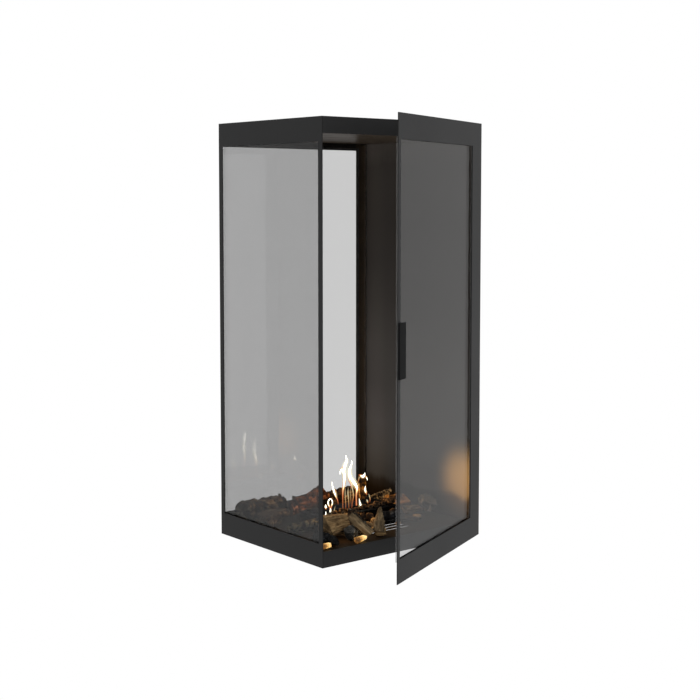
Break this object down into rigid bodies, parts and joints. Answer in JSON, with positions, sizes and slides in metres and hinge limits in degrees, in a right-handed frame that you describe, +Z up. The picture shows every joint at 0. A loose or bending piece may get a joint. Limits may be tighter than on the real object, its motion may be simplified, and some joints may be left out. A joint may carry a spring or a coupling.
{
  "type": "bioethanol room divider fireplace",
  "caption": "Tall room divider fireplace with glass on three sides, one solid wall side, a full-height hinged glass door and ceramic logs round a burner.",
  "frame": {"origin": "middle of the cabinet's underside, on the surface it stands on", "axes": "+Z up, -Y the door side, +X the solid wall side, so the free glass corner is at -X -Y"},
  "size_m": [0.602, 0.7539, 1.24],
  "materials": {
    "black_coat": "fine matt powder coat",
    "dark_liner": "satin heat-proof paint",
    "pane_glass": "clear heat-proof glass, lightly grey",
    "seal_black": "matt rope seal and magnet housings",
    "steel": "bright pins and knob",
    "burner_black": "heat-darkened steel",
    "ceramic_wool": "fibrous white",
    "bark": "cast ceramic painted as bark and split wood",
    "char": "cast ceramic painted as charcoal",
    "ember": "cast ceramic chips lit warm by the fire"
  },
  "bodies": {
    "cabinet": {"base_pan": "black_coat", "support_rail_left": "black_coat", "support_rail_right": "black_coat", "hearth_floor": "dark_liner", "hood_shell": "black_coat", "ceiling_plate": "dark_liner", "wall_casing": "black_coat", "wall_liner": "dark_liner", "hinge_post": "black_coat", "rear_post": "black_coat", "end_glass": "pane_glass", "rear_glass": "pane_glass", "end_cover_frame": "black_coat", "rear_cover_frame": "black_coat", "end_gasket": "seal_black", "rear_gasket": "seal_black", "end_glass_stop": "black_coat", "rear_glass_stop": "black_coat", "hinge_leaf_bottom": "black_coat", "hinge_leaf_middle": "black_coat", "hinge_leaf_top": "black_coat", "hinge_pin_bottom": "steel", "hinge_pin_middle": "steel", "hinge_pin_top": "steel", "catch_bottom": "seal_black", "catch_top": "seal_black", "burner_tank": "burner_black", "burner_top_plate": "burner_black", "ceramic_wool": "ceramic_wool", "log_rear_left": "bark", "log_rear_middle": "bark", "log_left_middle": "bark", "log_left_pale": "bark", "log_left_red": "bark", "log_stump": "bark", "log_glowing": "bark", "log_right_rear": "bark", "log_right_pale": "bark", "log_right_end": "bark", "log_right_chip": "bark", "log_split": "bark", "log_diagonal": "bark", "log_bark_right": "bark", "log_front_char": "char", "log_middle_char": "char", "log_right_char": "char", "log_upright_char": "char", "ember_left": "ember", "ember_middle": "ember"},
    "snuffer": {"snuffer_plate": "burner_black", "snuffer_knob": "steel"},
    "door": {"door_frame": "black_coat", "door_glass": "pane_glass", "door_gasket": "seal_black", "door_retainer_bottom": "black_coat", "door_retainer_top": "black_coat", "door_handle": "black_coat", "hinge_knuckle_bottom": "black_coat", "hinge_knuckle_middle": "black_coat", "hinge_knuckle_top": "black_coat"}
  },
  "joints": [
    {"name": "door_swing", "type": "hinge", "parent": "cabinet", "child": "door", "pos_m": [0.296, -0.247, 0], "axis": [0, 0, 1], "range_deg": [-24.5, 65.5]},
    {"name": "snuffer_slide", "type": "slide", "parent": "cabinet", "child": "snuffer", "axis": [0, 1, 0], "range_m": [-0.051, 0]}
  ]
}
